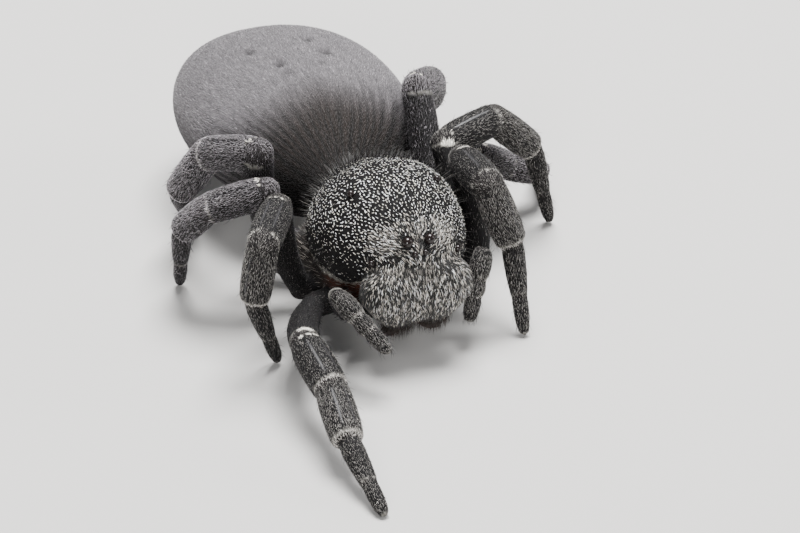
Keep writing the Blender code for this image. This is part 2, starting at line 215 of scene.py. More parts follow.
# Abdomen: a broad soft bag that narrows to a short stalk in front, with the pits on its back where
# the muscles are tied to the skin. A pit has its place across and along, its width and its depth.
BAG_CENTRE = np.array((0.0, 4.2, 3.2))
BAG_WIDE, BAG_FRONT, BAG_REAR, BAG_UP, BAG_DOWN, BAG_SQUARE = 3.7, 4.4, 4.7, 2.05, 2.1, 2.25
BAG_AXIS_HEIGHT = 2.4
FRONT_DROP = 0.9
STALK_SWELL, STALK_SPREAD = 0.45, math.radians(12)
PITS = ((-0.56, 4.07, 0.16, 0.20), (1.13, 4.47, 0.16, 0.20), (-1.14, 5.28, 0.14, 0.14),
        (0.91, 5.50, 0.14, 0.14), (-0.52, 3.45, 0.12, 0.09), (0.74, 3.75, 0.10, 0.05))
bag_reach = np.array((BAG_WIDE, BAG_FRONT, BAG_REAR, BAG_UP, BAG_DOWN)) - COAT_DEPTH
bag_ball, bag = round_form("abdomen", *bag_reach, BAG_SQUARE)
from_front = np.arccos(np.clip(-bag[:, 1] / np.linalg.norm(bag, axis=1), -1, 1))
bag[:, 2] -= FRONT_DROP * np.clip(-bag[:, 1] / BAG_FRONT, 0, None) ** 3
bag[:, 1] -= STALK_SWELL * np.exp(-(from_front / STALK_SPREAD) ** 4)
bag += BAG_CENTRE
keep_form(bag_ball, bag, "abdomen", "abdomen", (0, -0.6, BAG_AXIS_HEIGHT), -FORWARD, UP, 9.5)
limb_form("stalk", "flank", (0, -1.3, 2.15), (0, 0.25, 2.25), (0, 1), (0.42, 0.40), UP, 20, 12)

# Spinnerets: four short blunt fingers on a low pad under the tail end. The pad sits where a line
# that slopes down from the middle of the bag comes out of it, square to the bag's own curve.
TAIL_SLOPE = math.radians(24)
tail_spread = ((math.cos(TAIL_SLOPE) / BAG_REAR) ** BAG_SQUARE
               + (math.sin(TAIL_SLOPE) / BAG_DOWN) ** BAG_SQUARE) ** (-1 / BAG_SQUARE)
tail_along, tail_below = tail_spread * math.cos(TAIL_SLOPE), tail_spread * math.sin(TAIL_SLOPE)
tail_normal = unit((0.0, (tail_along / BAG_REAR) ** (BAG_SQUARE - 1) / BAG_REAR,
                    -(tail_below / BAG_DOWN) ** (BAG_SQUARE - 1) / BAG_DOWN))
tail_point = BAG_CENTRE + (0.0, tail_along, -tail_below)
tail_side = np.array((1.0, 0.0, 0.0))
tail_down = np.cross(tail_normal, tail_side)
limb_form("tail_pad", "tail", tail_point - tail_normal * 0.3, tail_point + tail_normal * 0.5,
          (0, 0.6, 0.9, 1), (0.50, 0.47, 0.40, 0.30), UP, 28, 12)
for across, down, size in ((1, 1, 1.0), (-1, 1, 1.0), (1, -1, 0.85), (-1, -1, 0.85)):
    root = tail_point + tail_normal * 0.35 + tail_side * across * 0.24 + tail_down * down * 0.2
    tip = root + tail_normal * 0.56 * size + tail_side * across * 0.08
    limb_form("spinneret", "tail", root, tip, (0, 0.5, 0.85, 1), np.array((0.2, 0.18, 0.13, 0.07)) * size,
              UP, 16, 12)

# Jaws: two stout upright barrels side by side, narrower below. A soft web fills the gap between
# them, and a rounded brow lies over their upper ends, below the eyes.
JAW_CENTRE = np.array((0.8, -6.26, 2.3))
JAW_LENGTH, JAW_TAPER, TAPER_LENGTH = 2.35, 0.46, 1.2
JAW_SEAM, JAW_GAP = 0.24, 0.03
WEB_CENTRE, BROW_CENTRE = np.array((0.0, -6.26, 2.35)), np.array((0.0, -6.02, 3.02))
SIDES = (("left", 1.0), ("right", -1.0))
for side_name, side in SIDES:
    jaw_ball, jaw = round_form("jaw", 0.99, 0.74, 0.61, 1.02, 1.16, 2.4, 64, 48)
    inner = side * (JAW_SEAM - JAW_CENTRE[0])
    narrow = 1.0 + JAW_TAPER * np.clip(jaw[:, 2], None, 0) / TAPER_LENGTH
    jaw[:, 0] = inner + (jaw[:, 0] - inner) * narrow
    jaw[:, 1] *= narrow
    jaw += JAW_CENTRE * (side, 1, 1)
    past_middle = np.clip(JAW_GAP - jaw[:, 0] * side, 0, None)
    jaw[:, 0] += past_middle * side
    keep_form(jaw_ball, jaw, "jaw", f"jaw_{side_name}", JAW_CENTRE * (side, 1, 1) + (0, 0, 1.15),
              DOWN, FORWARD, JAW_LENGTH)
web_ball, web = round_form("web", 0.60, 0.62, 0.4, 1.0, 1.02, 2.3, 48, 36)
keep_form(web_ball, web + WEB_CENTRE, "jaw", "web", (0.0, -6.26, 3.45), DOWN, FORWARD, JAW_LENGTH)
brow_ball, brow = round_form("brow", 1.45, 0.76, 0.5, 0.56, 0.5, 2.2, 64, 36)
keep_form(brow_ball, brow + BROW_CENTRE, "jaw", "brow", (0.0, -6.02, 3.45), DOWN, FORWARD, JAW_LENGTH)

# Palps: the short feelers beside the jaws, each of a hip, a thigh, a knee length, a shin and a
# blunt foot, bent once at the knee. A thin core inside holds the lengths below the knee together.
PALP_ROOT, PALP_HIP = np.array((1.15, -5.45, 1.3)), np.array((2.15, -5.6, 1.6))
PALP_KNEE = {"left": np.array((2.55, -5.5, 2.9)), "right": np.array((2.7, -6.5, 2.85))}
PALP_TIP = {"left": np.array((1.8, -6.25, 0.95)), "right": np.array((1.65, -8.1, 1.55))}
for side_name, side in SIDES:
    palp_points = (PALP_ROOT, PALP_HIP, PALP_KNEE[side_name], PALP_TIP[side_name])
    root, hip, knee, tip = (point * (side, 1, 1) for point in palp_points)
    outward = np.array((side, -0.3, 0.6))
    limb_form(f"palp_{side_name}_hip", "palp", root, hip, (0, 1), (0.2, 0.24), UP, 20, 14)
    limb_form(f"palp_{side_name}_thigh", "palp", hip, knee, (0, 0.2, 0.7, 0.95, 1),
              (0.2, 0.24, 0.28, 0.29, 0.24), outward, 24, 20)
    limb_form(f"palp_{side_name}_joint", "joint", hip * 0.6 + knee * 0.4 + (knee - hip) * 0.56,
              knee + (tip - knee) * 0.05, (0, 0.5, 1), (0.2, 0.27, 0.2), outward, 20, 12)
    for part, a, b, radii in (("knee", 0.02, 0.40, (0.24, 0.31, 0.35, 0.33, 0.28)),
                              ("shin", 0.43, 0.64, (0.24, 0.29, 0.31, 0.30, 0.25)),
                              ("foot", 0.66, 1.04, (0.20, 0.27, 0.26, 0.20, 0.08))):
        limb_form(f"palp_{side_name}_{part}", "palp", knee + (tip - knee) * a, knee + (tip - knee) * b,
                  (0, 0.15, 0.5, 0.9, 1), radii, outward, 24, 20)
    limb_form(f"palp_{side_name}_inside", "joint", knee, tip, (0, 0.8, 0.9, 1), (0.21, 0.2, 0.12, 0.05),
              outward, 16, 20)

# Legs. Each has a hip, a thigh, a knee length, a shin and a foot of two lengths, with a ball for
# the soft joint between each two. The stance is hip turn, then turn and rise of thigh, knee length
# and shin, then the turn of the foot, which comes down to the floor from wherever the shin ends.
LEG_ROOT_X, LEG_ROOT_Z = 1.15, 1.5
LEG_ROOT_Y = (-4.4, -3.35, -2.3, -1.3)
LEG_STOUT = (1.0, 0.94, 0.92, 1.0)
LEG_LENGTHS = {"hip": (1.6,) * 4, "thigh": (3.5, 3.5, 3.1, 4.0), "knee": (2.2, 2.1, 1.9, 2.5),
               "shin": (2.0, 1.9, 1.6, 2.4), "foot": (2.8, 2.9, 2.7, 3.0)}
STANCE = {
    "leg_right_1": (10, (65, 10), (90, -9), (84, -19), 92),
    "leg_right_2": (8, (30, 71), (57, -4), (0, -82), -147),
    "leg_right_3": (-12, (33, 73), (-24, -21), (-62, -47), -106),
    "leg_right_4": (-38, (50, 69), (-68, -22), (-70, -54), -120),
    "leg_left_1": (1, (-80, 53), (92, 6), (44, -65), 90),
    "leg_left_2": (-9, (-80, 48), (-20, 4), (-1, -43), -8),
    "leg_left_3": (-18, (-44, 26), (-36, -32), (-10, -22), -69),
    "leg_left_4": (-27, (-77, 60), (-56, -22), (-70, -40), -74),
}
LEG_SHAPES = {
    "hip": ((0, 0.3, 0.7, 0.95, 1), (0.30, 0.37, 0.41, 0.40, 0.34)),
    "thigh": ((0, 0.05, 0.3, 0.65, 0.93, 0.985, 1), (0.33, 0.38, 0.44, 0.495, 0.495, 0.48, 0.44)),
    "knee": ((0, 0.03, 0.12, 0.35, 0.6, 0.93, 0.985, 1),
             (0.43, 0.49, 0.54, 0.58, 0.58, 0.555, 0.54, 0.51)),
    "shin": ((0, 0.03, 0.12, 0.35, 0.7, 0.95, 0.985, 1),
             (0.49, 0.51, 0.53, 0.555, 0.545, 0.50, 0.48, 0.42)),
    "foot": ((0, 0.04, 0.2, 0.6, 0.95, 1), (0.26, 0.33, 0.36, 0.33, 0.28, 0.23)),
    "toe": ((0, 0.06, 0.4, 0.75, 0.93, 1), (0.21, 0.25, 0.25, 0.215, 0.16, 0.08)),
}
TOE_AT = 0.60
TIP_RADIUS, TIP_SINK, TIP_OVERRUN = 0.20, 0.04, 0.1
THIGH_BOW = 0.2
JOINT_OPENING = 0.02


def heading(side, turn, rise):
    """The way a length of leg points, from its turn about the upright and its rise in degrees."""
    turn, rise = math.radians(turn), math.radians(rise)
    level = math.cos(rise)
    return np.array((side * math.cos(turn) * level, -math.sin(turn) * level, math.sin(rise)))


def upper_side(direction):
    """The direction of a limb's upper side, square to its length, in its own upright plane."""
    level = unit((direction[0], direction[1], 0.0))
    hinge = np.cross(level, UP)
    return np.cross(hinge, direction)


for leg_name, stance in STANCE.items():
    side = 1.0 if "_left_" in leg_name else -1.0
    number = int(leg_name[-1]) - 1
    stout = LEG_STOUT[number]
    hip_turn, thigh, knee, shin, foot_turn = stance
    steps = [("hip", heading(side, hip_turn, 0)), ("thigh", heading(side, *thigh)),
             ("knee", heading(side, *knee)), ("shin", heading(side, *shin))]
    points = [np.array((side * LEG_ROOT_X, LEG_ROOT_Y[number], LEG_ROOT_Z))]
    for part, direction in steps:
        points.append(points[-1] + direction * LEG_LENGTHS[part][number])
    foot_long = LEG_LENGTHS["foot"][number]
    fall = points[-1][2] - (TIP_RADIUS * stout - TIP_SINK)
    foot_way = heading(side, foot_turn, -math.degrees(math.asin(fall / foot_long)))
    steps += [("foot", foot_way), ("toe", foot_way)]
    points.append(points[-1] + foot_way * foot_long * TOE_AT)
    points.append(points[-1] + foot_way * foot_long * (1 - TOE_AT) + foot_way * TIP_OVERRUN)
    for index, (part, direction) in enumerate(steps):
        opening = direction * JOINT_OPENING * (index > 0)
        stations, radii = LEG_SHAPES[part]
        bow = np.array((side * THIGH_BOW, 0.0, 0.0)) if part == "thigh" else np.zeros(3)
        limb_form(f"{leg_name}_{part}", "leg", points[index] + opening,
                  points[index + 1] - opening * (part != "toe"), stations, np.array(radii) * stout,
                  upper_side(direction), 32, 40, bow)
        if part != "toe":
            meet = min(radii[-2], LEG_SHAPES[steps[index + 1][0]][1][1]) * stout
            knob = new_ball("knob", 32, 24)
            keep_form(knob, ball_points(knob) * meet + points[index + 1], "joint",
                      f"{leg_name}_{part}_joint", points[index + 1] - direction * meet, direction,
                      upper_side(direction), 2 * meet)

# Skin: all the forms fused under the coat into one, so that no seam shows, then smoothed, with the
# pits and the fine creases pressed into the abdomen. Each place knows which form it lies on.
SKIN_GRAIN = 0.088
PIT_FLOOR, PIT_STRETCH = 4.0, 0.8
CREASE_DEPTH = 0.022
LEAST_LENGTH = 1e-9
LEG_NODES = ("coxa", "femur", "patella", "tibia", "foot")
FLESH = ["abdomen", "carapace", "sternum", "spinnerets", "chelicera_left", "chelicera_right"]
for side_name in ("left", "right"):
    FLESH += [f"palp_{side_name}_upper", f"palp_{side_name}_lower"]
    for number in (1, 2, 3, 4):
        FLESH += [f"leg_{side_name}_{number}_{node}" for node in LEG_NODES]


def pick(*pieces):
    """Selects these pieces and no others, with the first of them active."""
    bpy.ops.object.select_all(action="DESELECT")
    for piece in pieces:
        piece.select_set(True)
    bpy.context.view_layer.objects.active = pieces[0]


pick(*form_objects)
bpy.ops.object.join()
skin = bpy.context.object
skin.name = "skin"
remesh = skin.modifiers.new("fuse", "REMESH")
remesh.mode = "VOXEL"
remesh.voxel_size = SKIN_GRAIN
bpy.ops.object.modifier_apply(modifier="fuse")
smooth = skin.modifiers.new("soften", "SMOOTH")
smooth.factor = 0.5
smooth.iterations = 3
bpy.ops.object.modifier_apply(modifier="soften")
skin.modifiers.new("triangles", "TRIANGULATE")
bpy.ops.object.modifier_apply(modifier="triangles")

skin_points = ball_points(skin)
form_of_point = np.repeat(np.arange(len(forms)), [len(form["points"]) for form in forms])
tree = KDTree(len(form_of_point))
for index, point in enumerate(np.concatenate([form["points"] for form in forms])):
    tree.insert(point, index)
tree.balance()
skin_form = np.array([form_of_point[tree.find(point)[1]] for point in skin_points])


def in_pit(points, across, along, wide):
    """How far into one pit of the abdomen each place lies, from 0 to 1."""
    off = np.hypot(points[:, 0] - across, (points[:, 1] - along) * PIT_STRETCH)
    return np.exp(-(off / wide) ** 2) * (points[:, 2] > PIT_FLOOR)


def smoothstep(low, high, value):
    share = np.clip((value - low) / (high - low), 0, 1)
    return share * share * (3 - 2 * share)


def creases(points):
    """Fine creases of the abdomen, fanning out from the stalk over its front and lower flanks."""
    turn = np.arctan2(points[:, 0], points[:, 2] - BAG_AXIS_HEIGHT)
    wave = turn * 52 + 2.2 * np.sin(turn * 9 + points[:, 1] * 0.7)
    ridge = np.sin(wave + 1.3 * np.sin(points[:, 1] * 1.7 + turn * 4))
    zone = smoothstep(5.0, 1.5, points[:, 1] + 0.9 * (points[:, 2] - 3.0))
    zone *= smoothstep(1.2, 2.0, points[:, 2])
    return (0.5 - 0.5 * ridge) * zone


def unit_rows(vectors, guard=0.0):
    """Brings each row to length 1. A guard is for rows that may have hardly any length."""
    return vectors / (np.linalg.norm(vectors, axis=1)[:, None] + guard)


for across, along, wide, deep in PITS:
    skin_points[:, 2] -= deep * in_pit(skin_points, across, along, wide)
kinds = np.array([form["kind"] for form in forms])[skin_form]
crease_pull = CREASE_DEPTH * creases(skin_points) * (kinds == "abdomen")
inward = (0.0, 0.0, BAG_AXIS_HEIGHT) - skin_points * (1, 0, 1)
skin_points += unit_rows(inward, LEAST_LENGTH) * crease_pull[:, None]

# Each place on the skin knows how far along its form it is, which side of it faces up, which way
# the hair lies there, and its colour. The coat reads the same values, so both carry one pattern.
GRAIN_STRETCH, BAG_GRAIN = 0.2, 3.0
skin_total = len(skin_points)
skin_x, skin_y, skin_z = skin_points.T
skin_along = np.zeros(skin_total)
skin_angle = np.zeros(skin_total)
skin_lie = np.zeros((skin_total, 3))
skin_grain = np.zeros((skin_total, 3))
for index, form in enumerate(forms):
    here = skin_form == index
    off = skin_points[here] - form["start"]
    along = off @ form["axis"]
    back_way, side_way = off @ form["back"], off @ form["side"]
    skin_along[here] = along / form["length"]
    skin_angle[here] = np.arctan2(side_way, back_way)
    skin_lie[here] = form["axis"]
    if form["kind"] == "abdomen":
        back_way, side_way = np.cos(skin_angle[here]) * BAG_GRAIN, np.sin(skin_angle[here]) * BAG_GRAIN
    skin_grain[here] = np.stack((back_way, side_way, along * GRAIN_STRETCH), 1)

# The dome's hair is laid towards one point of the face, and down under the eyes. The abdomen's is
# laid away from its stalk. Colours go from near black to cream, the same for skin and coat.
FACE_POINT = np.array((0.0, -6.75, 3.75))
EYE_LINE, FACE_STRETCH = np.array((0.0, -6.3, 4.0)), (0.62, 0.8, 1.25)
BLACK = np.array((0.0055, 0.0050, 0.0052))
DARK_BROWN = np.array((0.017, 0.012, 0.010))
LILAC_GREY = np.array((0.126, 0.117, 0.123))
RED_BROWN = np.array((0.13, 0.035, 0.018))
CREAM = np.array((0.74, 0.71, 0.64))
BEIGE_GREY = np.array((0.15, 0.138, 0.122))

is_dome, is_jaw, is_bag = kinds == "dome", kinds == "jaw", kinds == "abdomen"
is_leg, is_palp, is_joint = kinds == "leg", kinds == "palp", kinds == "joint"
face_off = np.linalg.norm((skin_points - EYE_LINE) * FACE_STRETCH, axis=1)
skin_lie[is_dome] = unit_rows(FACE_POINT - skin_points[is_dome])
below_eyes = (smoothstep(3.9, 3.4, skin_z) * smoothstep(1.9, 1.3, np.abs(skin_x))
              * smoothstep(-5.4, -5.9, skin_y) * is_dome)[:, None]
skin_lie = skin_lie * (1 - below_eyes) + np.array((0.0, -0.3, -1.0)) * below_eyes
off_bag = skin_points - (BAG_CENTRE + (0, -4.2, -0.7))
skin_lie[is_bag] = off_bag[is_bag]

skin_tone = np.tile(BLACK, (skin_total, 1))


def bag_tone(points):
    """Colour of the abdomen: lilac grey on top and dark brown below, partly its own colour and partly
    painted sheen and shade, and darker low in front and in the creases and pits as painted shade.
    """
    x, y, z = points.T
    # Lighter on top partly as painted sheen from the light above, and darker low in front as painted
    # shade.
    top = (smoothstep(1.3, 3.5, y + 0.35 * np.abs(x)) * smoothstep(1.4, 2.8, z))[:, None]
    low_front_shade = (smoothstep(4.1, 2.9, z) * smoothstep(4.0, 2.0, y))[:, None]
    plain = DARK_BROWN * (1 - 0.6 * low_front_shade) * (1 - top) + LILAC_GREY * top
    # The pits and creases are darkened as painted shade.
    pitted = 0.6 * sum(in_pit(points, *pit[:3]) for pit in PITS)
    return plain * ((1 - 0.85 * creases(points)) * (1 - np.clip(pitted, 0, 0.6)))[:, None]


def forms_named(start, end=""):
    """Which forms have a name that starts and ends so. Several starts or ends may be given."""
    return np.array([form["name"].startswith(start) and form["name"].endswith(end) for form in forms])


by_palps = smoothstep(-3.9, -4.8, skin_y)[:, None]
for kind, tone in (("abdomen", bag_tone(skin_points) * 0.75), ("joint", BLACK * 1.2 + RED_BROWN * 0.01),
                   ("jaw", BEIGE_GREY * 0.10), ("flank", DARK_BROWN * 0.5 + RED_BROWN * 0.25 * by_palps)):
    skin_tone = np.where((kinds == kind)[:, None], tone, skin_tone)
dome_edge = smoothstep(2.40, 2.34, skin_z) * is_dome * (skin_y > -6.0)
skin_tone += (CREAM * 0.25 - skin_tone) * dome_edge[:, None]
end_ring = ((is_leg | is_palp) * smoothstep(0.945, 0.97, skin_along)
            * (1 - smoothstep(0.99, 1.0, skin_along)))
skin_tone += (CREAM * 0.45 - skin_tone) * (end_ring * 0.6)[:, None]
knee_forms, thigh_forms = forms_named("leg", "_knee"), forms_named("leg", "_thigh")
hinge_forms, plain_thigh_leg = forms_named("leg", "_thigh_joint"), forms_named("leg_left_4")
knee_patch = ((thigh_forms[skin_form] * smoothstep(0.94, 0.955, skin_along)
               + hinge_forms[skin_form] * smoothstep(0.50, 0.42, skin_along))
              * ~plain_thigh_leg[skin_form] * smoothstep(0.50, 0.38, np.abs(skin_angle)))
knee_patch = np.maximum(knee_patch, knee_forms[skin_form] * smoothstep(0.06, 0.04, skin_along)
                        * smoothstep(0.70, 0.50, np.abs(skin_angle)))
skin_tone += (CREAM - skin_tone) * (knee_patch * 0.85)[:, None]

skin.data.vertices.foreach_set("co", skin_points.ravel())
skin.data.update()
skin_normals = np.empty(skin_total * 3)
skin.data.vertices.foreach_get("normal", skin_normals)
skin_normals = skin_normals.reshape(-1, 3)
skin_faces = np.empty(len(skin.data.polygons) * 3, int)
skin.data.polygons.foreach_get("vertices", skin_faces)
skin_faces = skin_faces.reshape(-1, 3)
skin_lie -= skin_normals * np.sum(skin_lie * skin_normals, 1)[:, None]
skin_lie = unit_rows(skin_lie, LEAST_LENGTH)


def give_tone(mesh, tones):
    layer = mesh.color_attributes.new("tone", "FLOAT_COLOR", "POINT")
    layer.data.foreach_set("color", np.hstack((tones, np.ones((len(tones), 1)))).ravel())


def settle(piece):
    """Moves a finished piece from its own millimetres to its place on the floor, in metres."""
    points = ball_points(piece) + stand_at
    points[:, 2] = np.clip(points[:, 2], 0.0, None)
    points *= MM
    piece.data.vertices.foreach_set("co", points.ravel())
    piece.data.update()


# The skin is left bare in two stripes, turned to either side of the top of each knee and shin.
STRIPE_LEAN, STRIPE_TURN = 0.1, 0.38
stripes = smoothstep(0.11, 0.04, np.abs(np.abs(skin_angle + STRIPE_LEAN) - STRIPE_TURN))
bare = (forms_named("leg", ("_knee", "_shin"))[skin_form] * stripes * smoothstep(0.12, 0.2, skin_along)
        * smoothstep(0.9, 0.8, skin_along))
give_tone(skin.data, skin_tone)
polish_layer = skin.data.attributes.new("polish", "FLOAT", "POINT")
polish_layer.data.foreach_set("value", bare)
grain_layer = skin.data.attributes.new("grain", "FLOAT_VECTOR", "POINT")
grain_layer.data.foreach_set("vector", skin_grain.ravel())
pick(skin)
bpy.ops.object.shade_smooth()

# Skin finish: dark horny plate and soft velvet, with its colour from the pattern, fine lengthwise
# hair lines pressed in along each form, a faint sheen, and a polish where the leg stripes are bare.


def add_node(nodes, kind, sockets):
    node = nodes.new(kind)
    for socket, value in sockets.items():
        node.inputs[socket].default_value = value
    return node


def read_layer(nodes, name):
    """Adds a node that reads a value kept at each point of the mesh."""
    node = nodes.new("ShaderNodeAttribute")
    node.attribute_name = name
    return node


def shade_tone(nodes, links, shader, pattern, spread):
    """Makes the mesh's own tone the base colour, darker and lighter by a pattern."""
    shade = add_node(nodes, "ShaderNodeMapRange", spread)
    tinted = nodes.new("ShaderNodeMix")
    tinted.data_type = "RGBA"
    tinted.blend_type = "MULTIPLY"
    tinted.inputs["Factor"].default_value = 1.0
    links.new(pattern.outputs["Fac"], shade.inputs["Value"])
    links.new(read_layer(nodes, "tone").outputs["Color"], tinted.inputs["A"])
    links.new(shade.outputs["Result"], tinted.inputs["B"])
    links.new(tinted.outputs["Result"], shader.inputs["Base Color"])


skin_finish, nodes, links, shader = new_finish("velvet_skin", {
    "Specular IOR Level": 0.16, "Sheen Weight": 0.01, "Sheen Roughness": 0.45,
    "Sheen Tint": (0.80, 0.76, 0.84, 1.0)})
gloss = add_node(nodes, "ShaderNodeMapRange", {"To Min": 0.78, "To Max": 0.24})
links.new(read_layer(nodes, "polish").outputs["Fac"], gloss.inputs["Value"])
links.new(gloss.outputs["Result"], shader.inputs["Roughness"])
hair_lines = add_node(nodes, "ShaderNodeTexNoise", {"Scale": 9.0, "Detail": 4.0})
links.new(read_layer(nodes, "grain").outputs["Vector"], hair_lines.inputs["Vector"])
shade_tone(nodes, links, shader, hair_lines,
           {"From Min": 0.3, "From Max": 0.7, "To Min": 0.55, "To Max": 1.35})
bump = add_node(nodes, "ShaderNodeBump", {"Strength": 0.55, "Distance": 0.00004})
links.new(hair_lines.outputs["Fac"], bump.inputs["Height"])
links.new(bump.outputs["Normal"], shader.inputs["Normal"])
skin.data.materials.clear()
skin.data.materials.append(skin_finish)
settle(skin)
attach(skin, "root")
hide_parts(*FLESH)

# Coat. Every hair is a thin closed spike rooted on the skin and laid the way the coat runs there.
# Each has a small patch of the coat's own map at its root's place on an unwrap of the skin. Lengths
# and widths are in millimetres, and densities are hairs to the square millimetre.
HAIR_PATCH = 0.003
TILE_MARGIN, TILE_FILL = 0.04, 0.92
dice = np.random.default_rng(20)


def scatter(density):
    """Roots spread over the skin, as many to the square millimetre as density says."""
    corners = skin_points[skin_faces]
    across, along = corners[:, 1] - corners[:, 0], corners[:, 2] - corners[:, 0]
    area = np.linalg.norm(np.cross(across, along), axis=1) / 2
    wanted = area * density[skin_faces].mean(1)
    number = (wanted + dice.random(len(wanted))).astype(int)
    face = np.repeat(np.arange(len(number)), number)
    u, v = dice.random(len(face)), dice.random(len(face))
    over = u + v > 1
    u[over], v[over] = 1 - u[over], 1 - v[over]
    weights = np.stack((1 - u - v, u, v), 1)
    picked = skin_faces[face]

    def blend(values):
        if values.ndim == 1:
            return np.sum(values[picked] * weights, 1)
        return np.sum(values[picked] * weights[:, :, None], 1)

    normal = unit_rows(blend(skin_normals))
    lie = blend(skin_lie)
    lie = unit_rows(lie - normal * np.sum(lie * normal, 1)[:, None], LEAST_LENGTH)
    return {"root": blend(skin_points), "normal": normal, "lie": lie, "form": skin_form[picked[:, 0]],
            "tone": blend(skin_tone), "along": skin_along[picked[:, 0]], "angle": skin_angle[picked[:, 0]]}


def thin_out(places, spacing):
    """Keeps only roots that stand at least the spacing apart, as flakes do."""
    near = KDTree(len(places["root"]))
    for index, point in enumerate(places["root"]):
        near.insert(point, index)
    near.balance()
    kept = np.zeros(len(places["root"]), bool)
    for index, point in enumerate(places["root"]):
        others = near.find_range(point, spacing)
        kept[index] = not any(kept[other] for _, other, _ in others if other != index)
    return {key: value[kept] for key, value in places.items()}


def unwrap(places):
    """The place of each root on a flat map: one tile of the map for each form of the skin."""
    used = sorted(set(places["form"]))
    columns = math.ceil(math.sqrt(len(used)))
    spot = np.zeros((len(places["root"]), 2))
    for number, index in enumerate(used):
        here = places["form"] == index
        form = forms[index]
        off = places["root"][here] - form["start"]
        if form["kind"] in ("dome", "abdomen", "jaw", "flank", "chest"):
            middle = form["points"].mean(0)
            way = places["root"][here] - middle
            way /= np.abs(way).sum(1)[:, None]
            low = way[:, 2] < 0
            flat = way[:, :2].copy()
            flat[low] = (1 - np.abs(way[low][:, [1, 0]])) * np.where(way[low][:, :2] >= 0, 1, -1)
            local = flat * 0.5 + 0.5
        else:
            turn = np.arctan2(off @ form["side"], off @ form["back"]) / math.tau + 0.5
            local = np.stack((turn, np.clip(off @ form["axis"] / form["length"], 0, 1)), 1)
        tile = np.array((number % columns, number // columns))
        spot[here] = (tile + TILE_MARGIN + local * TILE_FILL) / columns
    return spot


def drawn(amount, total):
    """An amount for each hair: drawn between two bounds, or the same for all."""
    return dice.uniform(*amount, total) if isinstance(amount, tuple) else np.full(total, amount)


def lay_coat(name, places, length, width, lift, droop, finish, tone, uneven, brightest=np.inf,
             longer=1.0, wider=1.0, flat=0.6, rings=(0.0, 0.45), fat=(1.0, 0.8), sides=3):
    """Builds one piece of coat from spikes that rise by lift, in degrees, and bend back by droop."""
    root, normal, lie = places["root"], places["normal"], places["lie"]
    total = len(root)
    length = drawn(length, total) * longer
    width = drawn(width, total) * wider
    lift = np.radians(drawn(lift, total))
    droop = drawn(droop, total)
    tones = np.clip(tone * np.exp(dice.normal(0, uneven, total))[:, None], 0, brightest)
    sideways = np.cross(normal, lie)
    rows, patch = [], []
    turns = np.arange(sides) * math.tau / sides
    for share, fatness in zip(rings, fat):
        centre = (root + lie * (length * share * np.cos(lift))[:, None]
                  + normal * (length * (share * np.sin(lift) - share ** 2 * droop))[:, None])
        for corner, angle in enumerate(turns):
            rows.append(centre + (sideways * math.cos(angle) + normal * math.sin(angle) * flat)
                        * (width * fatness / 2)[:, None])
            patch.append((corner / (sides - 1), share * 0.9))
    rows.append(root + lie * (length * np.cos(lift))[:, None]
                + normal * (length * (np.sin(lift) - droop))[:, None])
    patch.append((0.5, 1.0))
    per_hair = len(rows)
    points = np.stack(rows, 1).reshape(-1, 3)
    one = []
    for ring in range(len(rings) - 1):
        for corner in range(sides):
            a, b = ring * sides + corner, ring * sides + (corner + 1) % sides
            one += [(a, b, b + sides), (a, b + sides, a + sides)]
    top = (len(rings) - 1) * sides
    one += [(top + corner, top + (corner + 1) % sides, per_hair - 1) for corner in range(sides)]
    one += [(0, corner + 1, corner) for corner in range(1, sides - 1)]
    one = np.array(one)[:, ::-1]
    faces = (one[None] + (np.arange(total) * per_hair)[:, None, None]).reshape(-1, 3)
    mesh = bpy.data.meshes.new(name)
    mesh.from_pydata(points.tolist(), [], faces.tolist(), shade_flat=False)
    give_tone(mesh, np.repeat(tones, per_hair, axis=0))
    spot = unwrap(places)[:, None] + (np.array(patch)[None] - 0.5) * HAIR_PATCH
    layer = mesh.uv_layers.new(name="OFBake")
    layer.data.foreach_set("uv", spot.reshape(-1, 2)[faces.ravel()].ravel())
    mesh.materials.append(finish)
    piece = bpy.data.objects.new(name, mesh)
    bpy.context.scene.collection.objects.link(piece)
    settle(piece)
    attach(piece, "root")


def object_noise(nodes, links, scale):
    """Adds a noise in the piece's own space."""
    noise = add_node(nodes, "ShaderNodeTexNoise", {"Scale": scale})
    links.new(nodes.new("ShaderNodeTexCoord").outputs["Object"], noise.inputs["Vector"])
    return noise


def hair_finish(name, roughness, sheen, shine):
    """A hair material: the pattern's colour, broken up a little from place to place."""
    made, nodes, links, shader = new_finish(name, {"Roughness": roughness, "Sheen Weight": sheen,
                                                   "Specular IOR Level": shine})
    shade_tone(nodes, links, shader, object_noise(nodes, links, 2500.0), {"To Min": 0.75, "To Max": 1.25})
    return made


def sway(places, spread):
    """The lie of each hair, swung a little to one side or the other."""
    swing = dice.normal(0, spread, len(places["root"]))[:, None]
    return places["lie"] * np.cos(swing) + np.cross(places["normal"], places["lie"]) * np.sin(swing)


# Dome flakes: short thick cream-white hairs, spaced apart over the dome, all laid towards the eyes.
# They are fewer and smaller low on its sides and at its back, and darker there as painted shade.
# They give way to fine hair on the face, and keep off the eyes, whose places across and above the
# middle of the dome come with a radius.
EYES = (("eye_rear_middle", 0.36, 1.12, 0.17), ("eye_front_middle", 0.17, 0.78, 0.10),
        ("eye_front_side", 1.42, 0.45, 0.115), ("eye_rear_side", 1.42, 1.95, 0.115))
FLAKE_DENSITY, FLAKE_SPACING = 330.0, 0.085
above_jaws = (smoothstep(3.65, 3.30, skin_z) * smoothstep(-5.3, -5.8, skin_y)
              * smoothstep(1.75, 1.35, np.abs(skin_x)))
face_share = is_dome * np.maximum(smoothstep(1.30, 0.5, face_off), above_jaws)


def outskirts(points):
    """How far a place on the dome lies towards its low sides and its back, from 0 to 1."""
    return np.maximum(smoothstep(4.5, 2.8, points[:, 2]), smoothstep(-3.2, -2.2, points[:, 1]))


